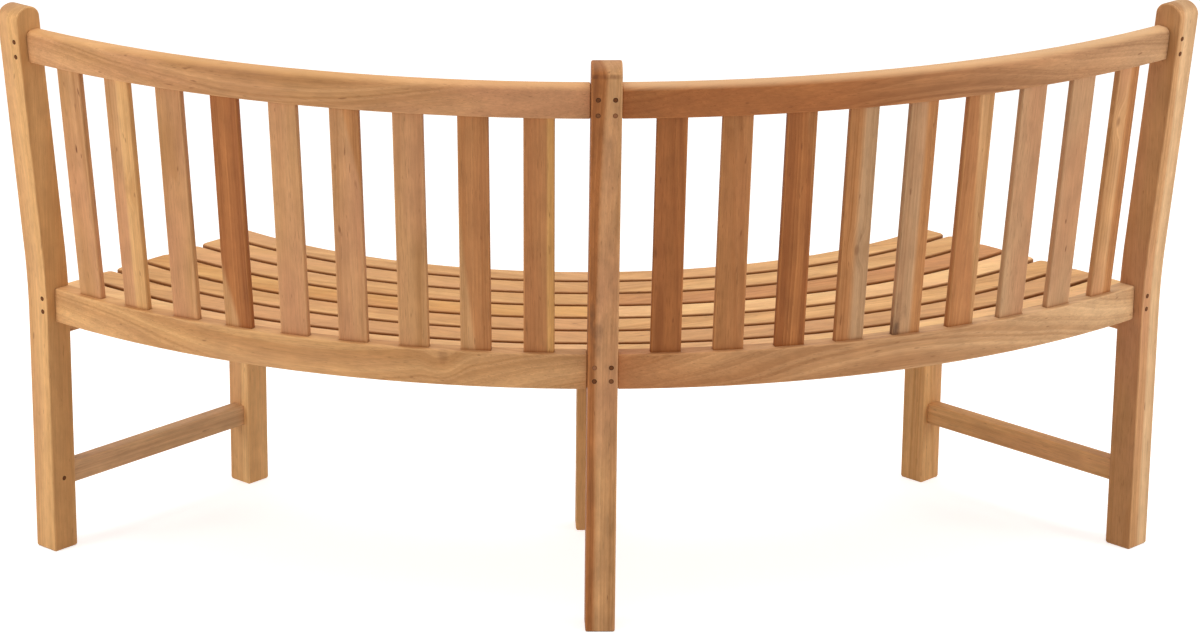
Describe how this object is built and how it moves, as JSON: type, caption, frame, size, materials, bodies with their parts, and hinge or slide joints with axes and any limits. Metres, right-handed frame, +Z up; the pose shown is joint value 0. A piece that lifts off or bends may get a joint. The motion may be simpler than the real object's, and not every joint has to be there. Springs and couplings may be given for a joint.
{
  "type": "curved garden bench",
  "caption": "Curved two-bay teak garden bench on an arc, with a slatted raked back, rows of bent seat boards and straight legs.",
  "frame": {"origin": "on the ground, under the middle of the bench's bounding box", "axes": "+Z up; +X along the bench, to the left of the people who sit on it; they face -Y, and the convex back faces +Y"},
  "size_m": [1.8404, 0.7596, 0.9],
  "materials": {
    "back_post": "oiled teak, straight grain, satin",
    "front_leg": "oiled teak, straight grain, satin",
    "seat_bearer": "oiled teak, satin",
    "side_stretcher": "oiled teak, satin",
    "top_rail": "oiled teak, satin",
    "lower_back_rail": "oiled teak, satin",
    "front_rail": "oiled teak, satin",
    "back_slat": "oiled teak, satin",
    "seat_board": "oiled teak, pale, satin"
  },
  "bodies": {
    "root": {"back_post_right": "back_post", "front_leg_right": "front_leg", "seat_bearer_right": "seat_bearer", "back_post_centre": "back_post", "front_leg_centre": "front_leg", "seat_bearer_centre": "seat_bearer", "back_post_left": "back_post", "front_leg_left": "front_leg", "seat_bearer_left": "seat_bearer", "side_stretcher_right": "side_stretcher", "side_stretcher_left": "side_stretcher", "top_rail_right": "top_rail", "lower_back_rail_right": "lower_back_rail", "front_rail_right": "front_rail", "back_slat_right_1": "back_slat", "back_slat_right_2": "back_slat", "back_slat_right_3": "back_slat", "back_slat_right_4": "back_slat", "back_slat_right_5": "back_slat", "back_slat_right_6": "back_slat", "back_slat_right_7": "back_slat", "back_slat_right_8": "back_slat", "back_slat_right_9": "back_slat", "seat_board_right_1": "seat_board", "seat_board_right_2": "seat_board", "seat_board_right_3": "seat_board", "seat_board_right_4": "seat_board", "seat_board_right_5": "seat_board", "seat_board_right_6": "seat_board", "seat_board_right_7": "seat_board", "top_rail_left": "top_rail", "lower_back_rail_left": "lower_back_rail", "front_rail_left": "front_rail", "back_slat_left_1": "back_slat", "back_slat_left_2": "back_slat", "back_slat_left_3": "back_slat", "back_slat_left_4": "back_slat", "back_slat_left_5": "back_slat", "back_slat_left_6": "back_slat", "back_slat_left_7": "back_slat", "back_slat_left_8": "back_slat", "back_slat_left_9": "back_slat", "seat_board_left_1": "seat_board", "seat_board_left_2": "seat_board", "seat_board_left_3": "seat_board", "seat_board_left_4": "seat_board", "seat_board_left_5": "seat_board", "seat_board_left_6": "seat_board", "seat_board_left_7": "seat_board"}
  },
  "joints": []
}
